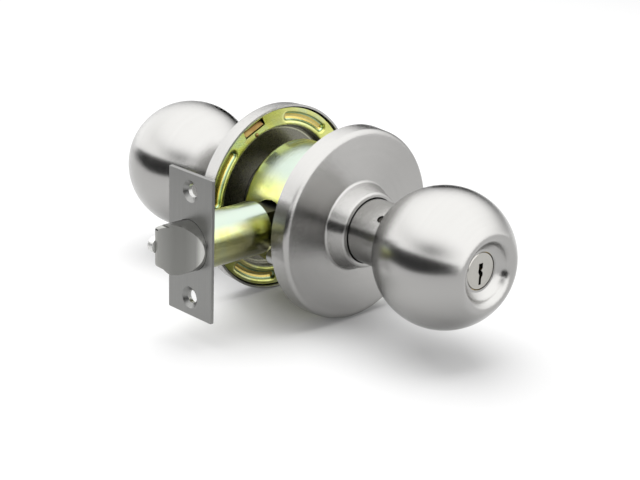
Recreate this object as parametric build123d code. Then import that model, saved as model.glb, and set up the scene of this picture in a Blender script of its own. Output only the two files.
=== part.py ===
from build123d import *
from math import cos, radians, sin, sqrt
import os

# Cylindrical knob lock, millimetres. The knob axis is Y and the latch axis is X, and they cross at the origin.
# The outside, keyed knob is at -Y, the inside knob with its push button is at +Y, and the bolt points to -X.

os.makedirs("parts", exist_ok=True)

# Clearances
running = 0.1            # radial, between a turning or sliding piece and its bore
gap = 0.3                # between neighbours that don't carry each other
seat = 0.05              # radial, where one piece is pressed or crimped in another
past = 1.0               # how far a cutting shape runs past what it cuts

# Face plate and backing plate
backset = 66.0           # knob axis to the outer face of the face plate
plate_height = 57.15
plate_width = 25.4
plate_thickness = 1.4
plate_corner = 0.5
plate_edge_break = 0.2
backing_height = 52.0
backing_width = 21.6
backing_thickness = 1.6
screw_spacing = 42.6
screw_hole_radius = 2.65
countersink_radius = 4.35

# Latch
bolt_radius = 10.0
bolt_throw = 11.5        # how far the bolt stands out of the face plate
bolt_length = 21.5       # from its tip to its rear face
bolt_flat = 6.5          # Y of the flat side where the plunger slides
bolt_tip_land = 1.4      # width in Y of the flat land along the tip
bevel_start = 1.0        # how far outside the plate the bevel meets the bolt's round side
bevel_crown = 1.0        # how far the bevel bulges over its own chord
bolt_tip_corner = 2.2
tube_wall = 0.6
tube_end = 33.8          # distance of the tube's rear end from the knob axis
plunger_width = 6.2      # in Z
plunger_thickness = 2.8  # in Y
plunger_proud = 1.4      # how far its nose stands past the bolt's tip
plunger_length = 22.0
case_width = 10.8        # in Y
case_height = 14.2       # in Z
case_wall = 1.0
case_front = 43.5        # distances of the case's ends from the knob axis
case_rear = 22.6
tail_thickness = 1.8
tail_width = 5.8
tail_low = -0.4          # Z of the tail's lower edge where it joins the bolt
tail_root = 6.0          # how deep it sits in the bolt
tail_hook_width = 11.0
tail_hook_length = 2.2
tail_crank = 40.0        # distance from the knob axis where the tail steps down to the middle
latch_spring_radius = 2.7
latch_spring_wire = 0.35
latch_spring_z = -4.8
latch_spring_pocket = 14.0
plunger_spring_radius = 0.68
plunger_spring_wire = 0.17
plunger_spring_pocket = 16.0

# Chassis drum
drum_radius = 26.4
drum_wall = 1.2
drum_half_width = 16.0
drum_corner = 2.4
window_radius = 9.3

# Hubs and spindles
hub_outer_radius = 15.7
hub_bore_radius = 13.3
hub_flange_thickness = 1.4
hub_inset = 0.2          # from the drum's open end to the outside hub's flange
hub_setback = 5.7        # how far a hub's end stays inside its rose's collar
spindle_radius = 11.75
spindle_bore_radius = 10.6
spindle_inner_end = 4.5  # distance of a spindle's inner end from the latch axis
cam_length = 7.1         # length of a spindle's half-round end
ring_outer_radius = 14.6
ring_thickness = 1.2

# Roses and liners
rose_radius = 39.1
rose_draft = 0.5         # how much narrower the face is than the rim
rose_depth = 8.0
rose_dip = 0.4           # how much lower the face is at the collar than at its edge
rose_wall = 0.9
rose_shoulder = 2.2
rose_foot_round = 1.2    # between the face and the collar
collar_foot_radius = 17.7
collar_lip_radius = 15.0
collar_height = 7.1
collar_edge = 1.2
neck_play = 0.45         # radial, between a neck and its collar
outside_rim = 15.9       # distances of the open rims from the latch axis
inside_rim = 21.1
liner_play = 0.7         # radial, between a liner and its rose
liner_wall = 1.0
liner_recess = 1.2       # from the rose's rim to the liner's flange
liner_flange_width = 7.5 # from the liner's edge to its step
liner_floor = 5.3        # from the rose's rim to the liner's floor
liner_outer_bend = 0.8
liner_inner_bend = 0.6
rib_inset = 3.6          # from the liner's edge to the middle of a rib
rib_radius = 1.9
rib_wall = 0.8
rib_span = 42.0          # degrees
rib_angle = 67.0         # degrees, of the first of four ribs
rib_count = 4
slot_angle = 115.0
slot_length = 11.0
slot_width = 3.6
slot_inset = 2.5         # from the liner's edge to the middle of its slot
tab_height = 3.4
tab_length = 7.2
dimple_radius = 1.0
dimple_inset = 5.8
post_share = 0.595       # where a post stands between the drum (0) and the liner's edge (1)
post_angle = 197.0
post_radius = 3.2
post_bore_radius = 1.65
post_end = 8.0           # distance of the post's end from the latch axis
post_end_break = 0.6
post_base = 1.0          # thickness left under the post's bore
rivet_head = 0.6
liner_screw_radius = 2.4

# Knobs
ball_radius = 27.44
ball_wall = 1.0
outside_ball = 69.85     # distances of the ball centres from the latch axis
inside_ball = 79.38
neck_radius = 13.0
neck_wall = 1.0
neck_inner_end = 18.0    # distance of a neck's inner end from the latch axis
neck_lip_radius = 15.5
neck_lip_play = 0.17     # between the lip and the inside of the ball
spindle_from_ball = 23.6 # from a ball's centre to its spindle's end
release_hole_radius = 1.6
release_hole_from_ball = 25.9
release_hole_angle = 130.0
catch_leaf_radius = 8.9  # from the knob axis to the leaf's inner face
catch_leaf_thickness = 0.6
catch_leaf_width = 4.8
catch_leaf_reach = 9.0   # from the lug towards the latch
catch_leaf_tip = 1.9     # from the lug towards the ball
catch_lug_play = 0.25    # radial, in the release hole
catch_lug_sunk = 0.6     # how far the lug's end stays below the neck's surface

# Key cylinder
dish_radius = 13.0
dish_floor_radius = 8.3
dish_depth = 9.3         # from the ball's pole to the floor of the recess
dish_bow = 1.0
dish_rim_round = 3.4
plug_face_radius = 7.2
plug_radius = 6.5
plug_face_thickness = 1.1
plug_face_play = 0.25    # radial, between the plug's face and the recess floor
plug_edge_break = 0.25
plug_tail = 3.0          # how far the plug stands out of the body's rear
groove_depth = 0.8
groove_width = 1.1
groove_place = 0.5       # from the body's rear to the ring's groove
plug_ring_width = 2.0    # how far its ring stands out of the plug
plug_ring_play = 0.1
body_radius = 9.2
body_length = 26.8
body_collar_radius = 12.4
body_collar_thickness = 2.0
tower_half_width = 4.2
tower_top = 15.5
tower_setback = 3.0      # from the body's front to its tower
spacer_radius = 14.0
spacer_wall = 3.2
pin_radius = 1.4
pin_pitch = 4.0
first_pin = 5.0          # from the plug's face to the first pin
key_pin_lengths = [5.2, 4.4, 5.6, 4.0, 4.8]
pin_top_play = 0.2       # from a key pin's top to the plug's surface
pin_cone = 0.7
chamber_depth = 0.5      # how far the chambers run past the plug's axis
driver_length = 3.6
driver_edge_break = 0.3
pin_spring_wire = 0.17
cover_thickness = 0.7
cover_width = 5.0
cover_end = 2.4          # from the end pins to the cover's ends
cover_play = 0.1
tail_bar_width = 5.0
tail_bar_thickness = 1.6
tail_bar_end = 9.6       # distance of its inner end from the latch axis
cam_thickness = 2.0
cam_flat = 3.5           # from the knob axis to the cam's flat

# Push button
button_radius = 4.3
button_proud = 3.6
button_length = 8.0
button_edge_round = 0.9
rod_socket = 4.0         # depth of the rod's hole in the button
rod_socket_play = 0.2
rod_radius = 1.6
rod_end = 12.0           # distance of the rod's inner end from the latch axis
rod_collar_width = 1.6
rod_collar_thickness = 1.2
locking_half_height = 5.8
locking_thickness = 2.0
locking_length = 6.0
locking_socket = 2.0     # how far the rod runs into the locking plate
guide_clearance = 2.48   # from the guide to the knob catch
guide_thickness = 2.0
button_spring_radius = 2.4
button_spring_wire = 0.25
button_spring_length = 14.0

# Retractor
retractor_front = 18.0   # distance of the jaws' front from the knob axis
retractor_back = 8.0
retractor_half_width = 4.0
retractor_half_height = 8.2
retractor_wall = 2.0
shoulder_half_height = 12.6
shoulder_gap = 0.4       # from the spindle's half-round end to the shoulder
shoulder_thickness = 3.0
jaw_opening = 7.2
retractor_spring_radius = 2.0
retractor_spring_wire = 0.3
retractor_spring_z = 10.8
seat_place = 20.3
seat_thickness = 1.2

# Places worked out from the sizes above
plate_back = -backset + plate_thickness
backing_back = plate_back + backing_thickness
hole_radius = bolt_radius + running
tube_radius = hole_radius + tube_wall
bolt_tip = -backset - bolt_throw
bolt_rear = bolt_tip + bolt_length
plunger_y = bolt_flat + running + plunger_thickness / 2
plunger_tip = bolt_tip - plunger_proud
plunger_rear = plunger_tip + plunger_length
drum_bore = drum_radius - drum_wall
outside_flange = drum_half_width - hub_inset - hub_flange_thickness
inside_flange = drum_half_width - drum_wall - running - hub_flange_thickness
plug_front = outside_ball + ball_radius - dish_depth
body_front = plug_front - ball_wall
body_rear = body_front - body_length
plug_rear = body_rear - plug_tail
groove = (body_rear - groove_place - groove_width, body_rear - groove_place)
rose_front_radius = rose_radius - rose_draft
liner_radius = rose_radius - rose_wall - liner_play
liner_step_radius = liner_radius - liner_flange_width
rib_middle_radius = liner_radius - rib_inset
slot_radius = liner_radius - slot_inset
post_circle_radius = drum_radius + post_share * (liner_radius - drum_radius)
neck_lip_from_ball = sqrt((ball_radius - ball_wall) ** 2 - neck_lip_radius ** 2) - neck_lip_play - neck_wall
catch_lug_end = neck_radius - catch_lug_sunk
guide_place = inside_ball - release_hole_from_ball - catch_leaf_reach - guide_clearance - guide_thickness
button_top = inside_ball + ball_radius + button_proud
wide = 2 * rose_radius   # wider than any piece, for cutting shapes


def save(name, shape):
    """Write one sub-part under its name."""
    export_step(shape, f"parts/{name}.step")


def turned(points, rounds=None):
    """Turn (radius, y) points about the knob axis; rounds gives corner radii by point number."""
    face = make_face(Polyline(*points, close=True).edges())
    for index, radius in (rounds or {}).items():
        face = fillet(face.vertices().sort_by_distance(points[index])[0], radius)
    return revolve(face, Axis.Y, 360)


def tube_y(outer, inner, low, high):
    """A plain ring or sleeve about the knob axis between two places along it."""
    return turned([(inner, low), (outer, low), (outer, high), (inner, high)])


def rod_x(radius, low, high, y=0.0, z=0.0):
    """A round rod along the latch axis."""
    return Pos((low + high) / 2, y, z) * Rot(0, 90, 0) * Cylinder(radius, high - low)


def rod_y(radius, low, high, x=0.0, z=0.0):
    """A round rod along the knob axis."""
    return Pos(x, (low + high) / 2, z) * Rot(90, 0, 0) * Cylinder(radius, high - low)


def block(x, y, z):
    """A box between two places along each axis."""
    middle = [(low + high) / 2 for low, high in (x, y, z)]
    return Pos(*middle) * Box(x[1] - x[0], y[1] - y[0], z[1] - z[0])


def outside(shape):
    """The same piece on the other side of the door."""
    return mirror(shape, Plane.XZ)


def polar(radius, angle, y):
    """A place at a radius and an angle round the knob axis, counted from +X towards +Z."""
    return Pos(radius * cos(radians(angle)), y, radius * sin(radians(angle)))


def coil(mean_radius, wire, length, turns):
    """A closed-ended compression spring along Z, from z = 0 to its length."""
    rise = length - 2 * wire
    path = Helix(pitch=rise / turns, height=rise, radius=mean_radius)
    return Pos(0, 0, wire) * sweep((path ^ 0) * Circle(wire), path, is_frenet=True)


# Face plate, backing plate and tube

def plate(thickness, height, width, front, corner):
    """A flat plate across the latch axis, with the bolt hole and two screw holes."""
    outline = RectangleRounded(height, width, corner)
    body = Pos(front, 0, 0) * Rot(0, 90, 0) * extrude(outline, thickness)
    body -= rod_x(hole_radius, front - past, front + thickness + past)
    for z in (-screw_spacing / 2, screw_spacing / 2):
        body -= rod_x(screw_hole_radius, front - past, front + thickness + past, z=z)
    return body


def face_plate():
    """The visible plate: its screw holes are countersunk and its front edge is broken."""
    body = plate(plate_thickness, plate_height, plate_width, -backset, plate_corner)
    rim = body.faces().sort_by(Axis.X)[0].outer_wire().edges()
    body = chamfer(rim, plate_edge_break)
    for z in (-screw_spacing / 2, screw_spacing / 2):
        sink = Cone(countersink_radius, screw_hole_radius, plate_thickness)
        body -= Pos(-backset + plate_thickness / 2, 0, z) * Rot(0, 90, 0) * sink
    return body


def backing_plate():
    return plate(backing_thickness, backing_height, backing_width, plate_back, plate_corner)


def latch_tube():
    """A thin tube from the backing plate to its cut end."""
    bore = rod_x(hole_radius, backing_back - past, past - tube_end)
    return rod_x(tube_radius, backing_back, -tube_end) - bore


# Bolt, plunger and what moves them

def bolt_outline():
    """The bolt seen from above: round side, crowned bevel, tip land and flat side."""
    tip_edge = bolt_flat - bolt_tip_land
    start = (-backset - bevel_start, -bolt_radius)
    end = (bolt_tip, tip_edge)
    run = (end[0] - start[0], end[1] - start[1])
    length = sqrt(run[0] ** 2 + run[1] ** 2)
    middle = ((start[0] + end[0]) / 2 - bevel_crown * run[1] / length,
              (start[1] + end[1]) / 2 + bevel_crown * run[0] / length)
    lines = [
        Line((bolt_rear, bolt_flat), (bolt_rear, -bolt_radius)),
        Line((bolt_rear, -bolt_radius), start),
        ThreePointArc(start, middle, end),
        Line(end, (bolt_tip, bolt_flat)),
        Line((bolt_tip, bolt_flat), (bolt_rear, bolt_flat)),
    ]
    return make_face([edge for line in lines for edge in line.edges()])


def latch_bolt():
    """A round bolt with its bevel, a pocket for the spring and a slot for the tail."""
    slab = Pos(0, 0, -bolt_radius) * extrude(bolt_outline(), 2 * bolt_radius)
    body = slab & rod_x(bolt_radius, bolt_tip, bolt_rear)
    chord = sqrt(bolt_radius ** 2 - (bolt_flat - bolt_tip_land) ** 2)
    centre_x = bolt_tip + bolt_tip_corner
    for sign in (-1, 1):
        centre_z = sign * (chord - bolt_tip_corner)
        corner = sorted((centre_z, sign * bolt_radius))
        square = block((bolt_tip, centre_x), (-bolt_radius, bolt_radius), corner)
        keep = Pos(centre_x, 0, centre_z) * Rot(90, 0, 0) * Cylinder(bolt_tip_corner, 2 * bolt_radius)
        body -= square - keep
    pocket = bolt_rear - latch_spring_pocket
    body -= rod_x(latch_spring_radius + latch_spring_wire + gap, pocket, bolt_rear + past, z=latch_spring_z)
    half = tail_thickness / 2 + seat
    slot = (tail_low - seat, tail_low + tail_width + seat)
    body -= block((bolt_rear - tail_root, bolt_rear + past), (-half, half), slot)
    return body


def latch_tail():
    """A flat bar that steps down to the middle and ends in the hook that the retractor pulls."""
    root = bolt_rear - tail_root
    high = tail_low + tail_width
    step = tail_width - tail_crank
    head = -retractor_front + retractor_wall + gap
    tip = head + tail_hook_length
    neck = jaw_opening / 2 - 2 * gap
    hook = tail_hook_width / 2
    points = [
        (root, tail_low), (-tail_crank, tail_low), (-tail_crank, -neck), (head, -neck), (head, -hook),
        (tip, -hook), (tip, hook), (head, hook), (head, neck), (step, neck), (step, high), (root, high),
    ]
    outline = Plane.XZ * make_face(Polyline(*points, close=True).edges())
    return extrude(outline, tail_thickness / 2, both=True)


def latch_spring():
    length = -case_front - (bolt_rear - latch_spring_pocket)
    body = coil(latch_spring_radius, latch_spring_wire, length, 11)
    return Pos(bolt_rear - latch_spring_pocket, 0, latch_spring_z) * Rot(0, 90, 0) * body


def deadlatch_plunger():
    """A flat bar with a full-round nose and a bore for its spring."""
    nose = plunger_width / 2
    body = block((plunger_tip + nose, plunger_rear),
                 (plunger_y - plunger_thickness / 2, plunger_y + plunger_thickness / 2), (-nose, nose))
    round_nose = Pos(plunger_tip + nose, plunger_y, 0) * Rot(90, 0, 0) * Cylinder(nose, plunger_thickness)
    body += round_nose
    bore = plunger_spring_radius + plunger_spring_wire + 2 * running
    body -= rod_x(bore, plunger_rear - plunger_spring_pocket, plunger_rear + past, y=plunger_y)
    return body


def plunger_spring():
    start = plunger_rear - plunger_spring_pocket
    body = coil(plunger_spring_radius, plunger_spring_wire, -case_front - start, 14)
    return Pos(start, plunger_y, 0) * Rot(0, 90, 0) * body


def latch_case():
    """A folded channel with a round front wall that is crimped in the tube."""
    wall_back = -case_front + case_wall
    outer = block((wall_back, -case_rear), (-case_width / 2, case_width / 2),
                  (-case_height / 2, case_height / 2))
    inner_y = case_width / 2 - case_wall
    inner_z = case_height / 2 - case_wall
    body = outer - block((wall_back - past, past - case_rear), (-inner_y, inner_y), (-inner_z, inner_z))
    body += rod_x(hole_radius - seat, -case_front, wall_back)
    half = tail_thickness / 2 + gap
    slot = (tail_low - gap, tail_low + tail_width + gap)
    body -= block((-case_front - past, wall_back + past), (-half, half), slot)
    return body


# Chassis

def chassis_drum():
    """A drawn cup, open outside, with the round latch window and the hub hole."""
    inner_corner = drum_corner - drum_wall
    hub_hole = hub_outer_radius + running
    points = [
        (drum_radius, -drum_half_width), (drum_radius, drum_half_width),
        (hub_hole, drum_half_width), (hub_hole, drum_half_width - drum_wall),
        (drum_bore, drum_half_width - drum_wall), (drum_bore, -drum_half_width),
    ]
    body = turned(points, {1: drum_corner, 4: inner_corner})
    return body - rod_x(window_radius, -drum_radius - past, -hub_outer_radius)


def hub(flange, tip):
    """A flange inside the drum and the tube that carries the spindle and the rose."""
    edge = drum_bore - seat
    return turned([
        (hub_bore_radius, flange), (edge, flange), (edge, flange + hub_flange_thickness),
        (hub_outer_radius, flange + hub_flange_thickness), (hub_outer_radius, tip), (hub_bore_radius, tip),
    ], {2: drum_corner - drum_wall})


def spring_seat():
    """The plate across the drum that the retractor springs push on."""
    half = shoulder_half_height - gap
    between = (gap - outside_flange, inside_flange - gap)
    return block((seat_place, seat_place + seat_thickness), between, (-half, half))


# Retractor

def retractor():
    """A frame round the latch tail, with jaws for its hook and shoulders for the inside spindle."""
    inner = retractor_half_height - retractor_wall
    jaw = jaw_opening / 2
    front = -retractor_front
    frame = block((front, retractor_back), (-retractor_half_width, retractor_half_width),
                  (-retractor_half_height, retractor_half_height))
    frame -= block((front + retractor_wall, retractor_back - retractor_wall), (-wide, wide), (-inner, inner))
    frame -= block((front - past, front + retractor_wall + past), (-wide, wide), (-jaw, jaw))
    reach = (-retractor_half_width, spindle_inner_end + cam_length - gap)
    for level in ((inner, shoulder_half_height), (-shoulder_half_height, -inner)):
        frame += block((shoulder_gap, shoulder_gap + shoulder_thickness), reach, level)
    return frame


def retractor_springs():
    """Two springs between the shoulders and the spring seat."""
    start = shoulder_gap + shoulder_thickness
    body = coil(retractor_spring_radius, retractor_spring_wire, seat_place - start, 8)
    places = [Pos(start, 0, z) * Rot(0, 90, 0) for z in (-retractor_spring_z, retractor_spring_z)]
    return Compound(children=[place * body for place in places])


# Roses and liners

def rose(rim):
    """A drawn cup with a tapered collar; every corner is rounded as the sheet is."""
    face = rim + rose_depth
    foot = face - rose_dip
    lip = face + collar_height
    hole = neck_radius + neck_play
    points = [
        (rose_radius, rim), (rose_front_radius, face), (collar_foot_radius, foot), (collar_lip_radius, lip),
        (hole, lip), (hole, lip - rose_wall), (collar_lip_radius - rose_wall, lip - rose_wall),
        (collar_foot_radius - rose_wall, foot - rose_wall), (rose_front_radius - rose_wall, face - rose_wall),
        (rose_radius - rose_wall, rim),
    ]
    rounds = {1: rose_shoulder, 2: rose_foot_round, 3: collar_edge, 6: collar_edge - rose_wall,
              8: rose_shoulder - rose_wall}
    return turned(points, rounds)


def rib(rim, radius):
    """A bead along an arc, with ball ends, about the back of the liner's flange."""
    level = rim + liner_recess + liner_wall
    half = rib_span / 2
    section = Pos(rib_middle_radius, level) * Circle(radius)
    bead = Rot(0, -half, 0) * revolve(section, Axis.Y, rib_span)
    for angle in (-half, half):
        bead += polar(rib_middle_radius, angle, level) * Sphere(radius)
    return bead


def liner(rim):
    """A pressed plate: flat flange, step down to a floor, ribs, a slot with its folded tab and a dimple."""
    flange = rim + liner_recess
    floor = rim + liner_floor
    hole = hub_outer_radius + gap
    points = [
        (liner_radius, flange), (liner_radius, flange + liner_wall), (liner_step_radius, flange + liner_wall),
        (liner_step_radius, floor + liner_wall), (hole, floor + liner_wall), (hole, floor),
        (liner_step_radius - liner_wall, floor), (liner_step_radius - liner_wall, flange),
    ]
    body = turned(points, {3: liner_outer_bend, 7: liner_inner_bend})
    keep_out = tube_y(rose_radius, running, flange + liner_wall, floor)
    for number in range(rib_count):
        turn = Rot(0, -rib_angle - number * 360 / rib_count, 0)
        body += turn * (rib(rim, rib_radius) - keep_out)
        body -= turn * rib(rim, rib_radius - rib_wall)
    slot = polar(slot_radius, 0, flange) * Box(slot_width, 4 * liner_wall, slot_length)
    fold = slot_radius - slot_width / 2
    tab = block((fold - liner_wall / 2, fold + liner_wall / 2), (flange, flange + tab_height),
                (-tab_length / 2, tab_length / 2))
    body -= Rot(0, -slot_angle, 0) * slot
    body += Rot(0, -slot_angle, 0) * tab
    body += polar(liner_radius - dimple_inset, slot_angle, flange) * Sphere(dimple_radius) - keep_out
    for angle in (post_angle, post_angle - 180):
        place = polar(post_circle_radius, angle, flange)
        body -= place * Rot(90, 0, 0) * Cylinder(liner_screw_radius, 6 * liner_wall)
    return body


def screw_posts():
    """Two round posts riveted to the outside liner, bored for the fixing screws."""
    foot = outside_rim + liner_recess
    posts = []
    for angle in (post_angle, post_angle - 180):
        place = polar(post_circle_radius, angle, 0)
        body = rod_y(post_radius, -foot, -post_end)
        body += rod_y(liner_screw_radius - seat, -foot - liner_wall - rivet_head, -foot)
        body = chamfer(body.faces().sort_by(Axis.Y)[-1].edges(), post_end_break)
        body -= rod_y(post_bore_radius, -foot + post_base, 0)
        posts.append(place * body)
    return Compound(children=posts)


# Spindles and knobs

def spindle(ball, flange):
    """A tube with a bearing collar in the hub and a half-round inner end."""
    end = ball - spindle_from_ball
    collar = hub_bore_radius - running
    body = turned([
        (spindle_bore_radius, spindle_inner_end), (spindle_radius, spindle_inner_end), (spindle_radius, flange),
        (collar, flange), (collar, neck_inner_end - gap), (spindle_radius, neck_inner_end - gap),
        (spindle_radius, end), (spindle_bore_radius, end),
    ])
    cam_end = spindle_inner_end + cam_length
    body -= block((0, wide), (spindle_inner_end - past, cam_end), (-wide, wide))
    hole_y = ball - release_hole_from_ball
    hole = polar(spindle_radius, release_hole_angle, hole_y) * Rot(0, 90 - release_hole_angle, 0)
    return body - hole * Cylinder(release_hole_radius + running, neck_radius / 2)


def retaining_ring(flange):
    """The ring that stops the spindle from being pulled out of the hub."""
    return tube_y(ring_outer_radius, spindle_radius + seat, flange - gap - ring_thickness, flange - gap)


def neck(ball):
    """The sleeve between rose and ball, with its lip inside the ball and the release hole."""
    lip = ball - neck_lip_from_ball
    inner = neck_radius - neck_wall
    body = turned([
        (inner, neck_inner_end), (neck_radius, neck_inner_end), (neck_radius, lip - neck_wall),
        (neck_lip_radius, lip - neck_wall), (neck_lip_radius, lip), (inner, lip),
    ])
    place = polar(neck_radius, release_hole_angle, ball - release_hole_from_ball)
    return body - place * Rot(0, 90 - release_hole_angle, 0) * Cylinder(release_hole_radius, 4 * neck_wall)


def knob_catch(ball):
    """A leaf inside the spindle with the lug that sits in the release hole."""
    place = ball - release_hole_from_ball
    leaf_back = catch_leaf_radius + catch_leaf_thickness
    leaf = block((catch_leaf_radius, leaf_back), (place - catch_leaf_reach, place + catch_leaf_tip),
                 (-catch_leaf_width / 2, catch_leaf_width / 2))
    lug = rod_x(release_hole_radius - catch_lug_play, leaf_back - running, catch_lug_end, y=place)
    return Rot(0, -release_hole_angle, 0) * (leaf + lug)


def ball_profile(ball, hollow=None):
    """Half section of the ball's wall; hollow is the recess in its pole."""
    half = Pos(ball_radius, ball) * Rectangle(2 * ball_radius, 4 * ball_radius)
    skin = (Pos(0, ball) * Circle(ball_radius)) & half
    core = (Pos(0, ball) * Circle(ball_radius - ball_wall)) & half
    if hollow:
        skin -= hollow
        core -= offset(hollow, ball_wall)
    wall = skin - core
    return wall - Pos(0, ball - ball_radius) * Rectangle(2 * (neck_radius + seat), ball_radius)


def outside_knob():
    """The keyed ball: a bowl-shaped recess with the plug's hole in its floor."""
    floor = plug_front
    rim = (dish_radius, outside_ball + sqrt(ball_radius ** 2 - dish_radius ** 2))
    foot = (dish_floor_radius, floor)
    run = (rim[0] - foot[0], rim[1] - foot[1])
    length = sqrt(run[0] ** 2 + run[1] ** 2)
    middle = ((rim[0] + foot[0]) / 2 + dish_bow * run[1] / length,
              (rim[1] + foot[1]) / 2 - dish_bow * run[0] / length)
    top = outside_ball + 2 * ball_radius
    brim = (rim[0] + (top - rim[1]) * run[0] / run[1], top)
    lines = [
        Line((0, floor), foot), ThreePointArc(foot, middle, rim), Line(rim, brim),
        Line(brim, (0, top)), Line((0, top), (0, floor)),
    ]
    hollow = make_face([edge for line in lines for edge in line.edges()])
    wall = ball_profile(outside_ball, hollow)
    wall -= Pos(0, floor) * Rectangle(2 * (plug_face_radius + plug_face_play), 4 * ball_wall)
    wall = fillet(wall.vertices().sort_by_distance(rim)[1], dish_rim_round - ball_wall)
    wall = fillet(wall.vertices().sort_by_distance(rim)[0], dish_rim_round)
    return outside(revolve(wall, Axis.Y, 360))


def inside_knob():
    """The plain ball with the button's hole in its pole."""
    wall = ball_profile(inside_ball)
    wall -= Pos(0, inside_ball + ball_radius) * Rectangle(2 * (button_radius + gap), ball_radius)
    return revolve(wall, Axis.Y, 360)


# Key cylinder, drawn towards +Y and turned over to the outside when it is saved

def pin_places():
    """Where the five pin stacks stand along the plug."""
    return [plug_front - first_pin - number * pin_pitch for number in range(len(key_pin_lengths))]


def cylinder_body():
    """Round body with a collar at its rear, the tower of the pin chambers and the plug's bore."""
    tower = block((-tower_half_width, tower_half_width), (body_rear, body_front - tower_setback),
                  (0, tower_top))
    body = rod_y(body_radius, body_rear, body_front) + tower
    body += rod_y(body_collar_radius, body_rear, body_rear + body_collar_thickness)
    body -= rod_y(plug_radius + seat, body_rear - past, body_front + past)
    step = plug_face_thickness - ball_wall + seat
    body -= rod_y(plug_face_radius + running, body_front - step, body_front + past)
    for place in pin_places():
        body -= Pos(0, place, tower_top) * Cylinder(pin_radius + running, 2 * tower_top)
    low = pin_places()[-1] - cover_end - cover_play
    high = pin_places()[0] + cover_end + cover_play
    half = cover_width / 2 + cover_play
    body -= block((-half, half), (low, high), (tower_top - cover_thickness, tower_top + past))
    return body - rod_y(plug_radius + seat, body_rear - past, body_front + past)


def keyway():
    """The zigzag keyway through the plug's whole length."""
    points = [
        (-0.7, -5.4), (0.6, -5.4), (0.6, -2.9), (1.3, -1.9), (1.3, -0.8), (0.4, 0.1), (1.15, 1.0), (1.15, 3.0),
        (-1.05, 3.0), (-1.05, 1.0), (-1.3, -0.2), (-0.5, -1.6), (-0.7, -2.3),
    ]
    outline = Plane.XZ * make_face(Polyline(*points, close=True).edges())
    return Pos(0, plug_rear - past, 0) * extrude(outline, -(plug_front - plug_rear + 2 * past))


def key_plug():
    """Plug with its face, keyway, pin chambers, ring groove and the slot for the tail bar."""
    body = rod_y(plug_radius, plug_rear, plug_front)
    body += rod_y(plug_face_radius, plug_front - plug_face_thickness, plug_front)
    body = chamfer(body.faces().sort_by(Axis.Y)[-1].edges(), plug_edge_break)
    body -= keyway()
    for place in pin_places():
        body -= Pos(0, place, plug_radius - chamber_depth) * Cylinder(pin_radius + running, 2 * plug_radius)
    body -= tube_y(plug_radius + past, plug_radius - groove_depth, *groove)
    half_z = tail_bar_width / 2 + seat
    half_x = tail_bar_thickness / 2 + seat
    body -= block((-half_x, half_x), (plug_rear - past, body_rear), (-half_z, half_z))
    return body


def key_pin(number):
    """One pin of the plug, cone-nosed, with its top at the shear line."""
    length = key_pin_lengths[number]
    top = plug_radius - pin_top_play
    body = Pos(0, 0, top - length / 2) * Cylinder(pin_radius, length)
    body = chamfer(body.faces().sort_by(Axis.Z)[0].edges(), pin_cone)
    return Pos(0, pin_places()[number], 0) * body


def driver_pins():
    low = plug_radius + running
    body = Pos(0, 0, low + driver_length / 2) * Cylinder(pin_radius, driver_length)
    body = chamfer(body.faces().sort_by(Axis.Z)[-1].edges(), driver_edge_break)
    return [Pos(0, place, 0) * body for place in pin_places()]


def pin_springs():
    low = plug_radius + running + driver_length
    height = tower_top - cover_thickness - low
    body = coil(pin_radius - pin_spring_wire - seat, pin_spring_wire, height, 6)
    return [Pos(0, place, low) * body for place in pin_places()]


def spring_cover():
    """The strip that closes the pin chambers."""
    low = pin_places()[-1] - cover_end
    high = pin_places()[0] + cover_end
    level = (tower_top - cover_thickness, tower_top - seat)
    return block((-cover_width / 2, cover_width / 2), (low, high), level)


def cylinder_spacer():
    """The sleeve between the neck's lip and the cylinder's collar."""
    return tube_y(spacer_radius, spacer_radius - spacer_wall, outside_ball - neck_lip_from_ball, body_rear)


def plug_retaining_ring():
    """The ring in the plug's groove, behind the cylinder body."""
    inner = plug_radius - groove_depth + seat
    return tube_y(plug_radius + plug_ring_width, inner, groove[0] + plug_ring_play, groove[1] - plug_ring_play)


def tail_bar():
    half_z = tail_bar_width / 2
    half_x = tail_bar_thickness / 2
    return block((-half_x, half_x), (tail_bar_end, body_rear - gap), (-half_z, half_z))


def unlocking_cam():
    """The disc at the tail bar's end, inside the outside spindle."""
    place = tail_bar_end
    body = rod_y(spindle_bore_radius - gap, place, place + cam_thickness)
    half_z = tail_bar_width / 2 + seat
    half_x = tail_bar_thickness / 2 + seat
    through = (place - past, place + cam_thickness + past)
    body -= block((-half_x, half_x), through, (-half_z, half_z))
    return body - block((cam_flat, wide), through, (-wide, wide))


# Push button and locking plate

def push_button():
    """A round cap with softened edges."""
    low = button_top - button_length
    points = [(0, low), (button_radius, low), (button_radius, button_top), (0, button_top)]
    body = turned(points, {2: button_edge_round})
    return body - rod_y(rod_radius + seat, low - past, low + rod_socket)


def button_rod():
    """The rod from the button to the locking plate, with the collar that its spring pushes."""
    top = button_top - button_length + rod_socket - rod_socket_play
    collar = guide_place + guide_thickness + button_spring_length
    body = rod_y(rod_radius, rod_end, top)
    return body + rod_y(rod_radius + rod_collar_width, collar, collar + rod_collar_thickness)


def locking_plate():
    """The flat plate on the rod's inner end."""
    end = rod_end + locking_socket
    body = block((-locking_thickness / 2, locking_thickness / 2), (end - locking_length, end),
                 (-locking_half_height, locking_half_height))
    return body - rod_y(rod_radius + seat, rod_end, end + past)


def rod_guide():
    """The disc in the inside spindle that guides the rod."""
    return tube_y(spindle_bore_radius - seat, rod_radius + running, guide_place, guide_place + guide_thickness)


def button_spring():
    body = coil(button_spring_radius, button_spring_wire, button_spring_length, 7)
    return Pos(0, guide_place + guide_thickness, 0) * Rot(-90, 0, 0) * body


outside_lip = outside_rim + rose_depth + collar_height
inside_lip = inside_rim + rose_depth + collar_height

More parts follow.
